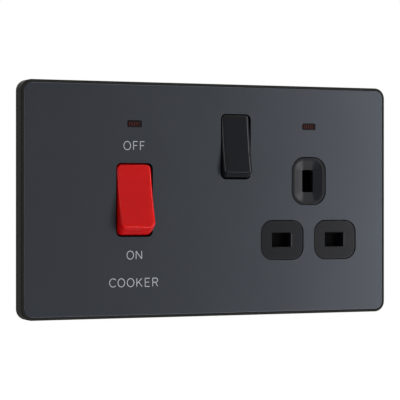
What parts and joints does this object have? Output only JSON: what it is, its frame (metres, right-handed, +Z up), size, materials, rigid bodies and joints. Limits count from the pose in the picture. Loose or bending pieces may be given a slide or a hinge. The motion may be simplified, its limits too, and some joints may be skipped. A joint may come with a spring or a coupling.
{
  "type": "cooker control unit",
  "caption": "Flush two-gang cooker control unit: red rocker switch, switched three-pin socket outlet and two neon windows in a grey clip-on plate.",
  "frame": {"origin": "middle of the plate on the wall plane", "axes": "+Y into the wall, +Z up, +X to the right seen from the front"},
  "size_m": [0.146, 0.0355, 0.086],
  "materials": {
    "satin_grey_sheet": "satin dark grey metal sheet",
    "black_moulding": "matt black moulded plastic",
    "black_insert": "satin black moulded plastic",
    "white_moulding": "off-white moulded plastic",
    "red_gloss": "glossy red moulded plastic",
    "black_gloss": "glossy black moulded plastic",
    "brass": "bright brass",
    "spring_steel": "spring steel wire",
    "zinc_steel": "zinc plated steel",
    "red_lens": "clear dark red plastic",
    "lamp_glass": "clear glass"
  },
  "bodies": {
    "unit": {"assembly_screws": "zinc_steel", "chassis": "black_moulding", "cooker_neon_lamp": "lamp_glass", "cooker_neon_lens": "red_lens", "earth_contact": "brass", "earth_screws": "zinc_steel", "earth_terminal": "brass", "fixing_screws": "zinc_steel", "front_plate": "satin_grey_sheet", "live_contact": "brass", "live_link": "brass", "load_live_terminal": "brass", "load_neutral_terminal": "brass", "neutral_contact": "brass", "plate_carrier": "black_moulding", "pole_barrier": "black_moulding", "rear_cover": "black_moulding", "shutter_retainer": "black_insert", "shutter_spring": "spring_steel", "socket_insert": "black_insert", "socket_neon_lamp": "lamp_glass", "socket_neon_lens": "red_lens", "supply_live_terminal": "brass", "supply_neutral_terminal": "brass", "terminal_screws": "zinc_steel"},
    "cooker_rocker": {"cooker_rocker": "red_gloss", "live_spring": "spring_steel", "neutral_spring": "spring_steel"},
    "live_plunger": {"live_plunger": "white_moulding"},
    "neutral_plunger": {"neutral_plunger": "white_moulding"},
    "live_arm": {"live_arm": "brass"},
    "neutral_arm": {"neutral_arm": "brass"},
    "socket_rocker": {"socket_rocker": "black_gloss", "socket_spring": "spring_steel"},
    "socket_plunger": {"socket_plunger": "white_moulding"},
    "socket_arm": {"socket_arm": "brass"},
    "shutter": {"shutter": "black_insert"}
  },
  "joints": [
    {"name": "cooker_rocker_tilt", "type": "hinge", "parent": "unit", "child": "cooker_rocker", "pos_m": [-0.0302, -0.0023, 0], "axis": [1, 0, 0], "range_deg": [0, 26]},
    {"name": "live_plunger_slide", "type": "slide", "parent": "cooker_rocker", "child": "live_plunger", "axis": [0, -0.9744, 0.225], "range_m": [0, 0.0015], "stiffness_N_per_m": 600, "springref_m": -0.003, "deforming": ["live_spring"]},
    {"name": "live_arm_tilt", "type": "hinge", "parent": "unit", "child": "live_arm", "pos_m": [-0.0351, 0.0118, 0], "axis": [1, 0, 0], "range_deg": [-18, 0]},
    {"name": "neutral_plunger_slide", "type": "slide", "parent": "cooker_rocker", "child": "neutral_plunger", "axis": [0, -0.9744, 0.225], "range_m": [0, 0.0015], "stiffness_N_per_m": 600, "springref_m": -0.003, "deforming": ["neutral_spring"]},
    {"name": "neutral_arm_tilt", "type": "hinge", "parent": "unit", "child": "neutral_arm", "pos_m": [-0.0253, 0.0118, 0], "axis": [1, 0, 0], "range_deg": [-18, 0]},
    {"name": "socket_rocker_tilt", "type": "hinge", "parent": "unit", "child": "socket_rocker", "pos_m": [0.0101, -0.0018, 0.01978], "axis": [1, 0, 0], "range_deg": [0, 18]},
    {"name": "socket_plunger_slide", "type": "slide", "parent": "socket_rocker", "child": "socket_plunger", "axis": [0, -0.9877, 0.1564], "range_m": [0, 0.0015], "stiffness_N_per_m": 600, "springref_m": -0.003, "deforming": ["socket_spring"]},
    {"name": "socket_arm_tilt", "type": "hinge", "parent": "unit", "child": "socket_arm", "pos_m": [0.0101, 0.0113, 0.01978], "axis": [1, 0, 0], "range_deg": [-16, 0]},
    {"name": "shutter_slide", "type": "slide", "parent": "unit", "child": "shutter", "axis": [0, 0, -1], "range_m": [0, 0.0065], "stiffness_N_per_m": 150, "springref_m": -0.003, "deforming": ["shutter_spring"]}
  ],
  "couplings": [
    {"joint": "live_arm_tilt", "follows": "cooker_rocker_tilt", "ratio": -0.69231},
    {"joint": "neutral_arm_tilt", "follows": "cooker_rocker_tilt", "ratio": -0.69231},
    {"joint": "socket_arm_tilt", "follows": "socket_rocker_tilt", "ratio": -0.88889}
  ]
}
